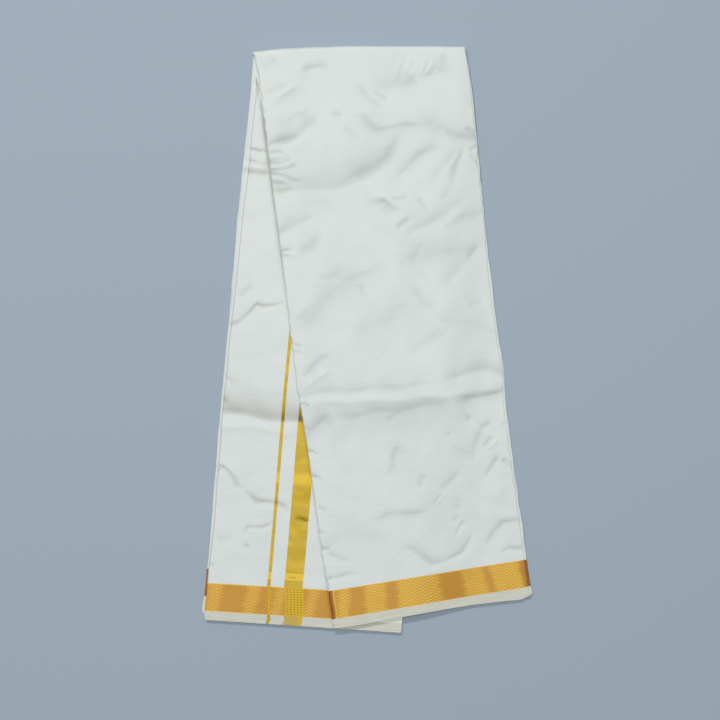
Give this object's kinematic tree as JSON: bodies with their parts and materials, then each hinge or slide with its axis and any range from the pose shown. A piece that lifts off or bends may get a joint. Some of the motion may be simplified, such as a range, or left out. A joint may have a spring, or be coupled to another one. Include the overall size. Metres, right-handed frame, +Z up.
{
  "type": "folded dhoti cloth",
  "caption": "A cream silk dhoti cloth with woven gold borders and yellow cross stripes, pleated into a strip, folded in half and laid flat.",
  "frame": {"origin": "centre of the folded cloth's bounding box, on the surface it rests on", "axes": "+Z up from the surface, +Y towards the fold across the cloth's middle, +X to the right as seen from above"},
  "size_m": [0.3653, 0.6485, 0.0119],
  "materials": {
    "silk": "satin",
    "zari": "satin",
    "selvedge": "matte"
  },
  "bodies": {
    "root": {"hidden_layers": "silk", "back_panel": "silk", "back_border": "zari", "back_selvedge": "selvedge", "top_fold": "silk", "front_panel": "silk", "front_border": "zari", "front_selvedge": "selvedge"}
  },
  "joints": []
}
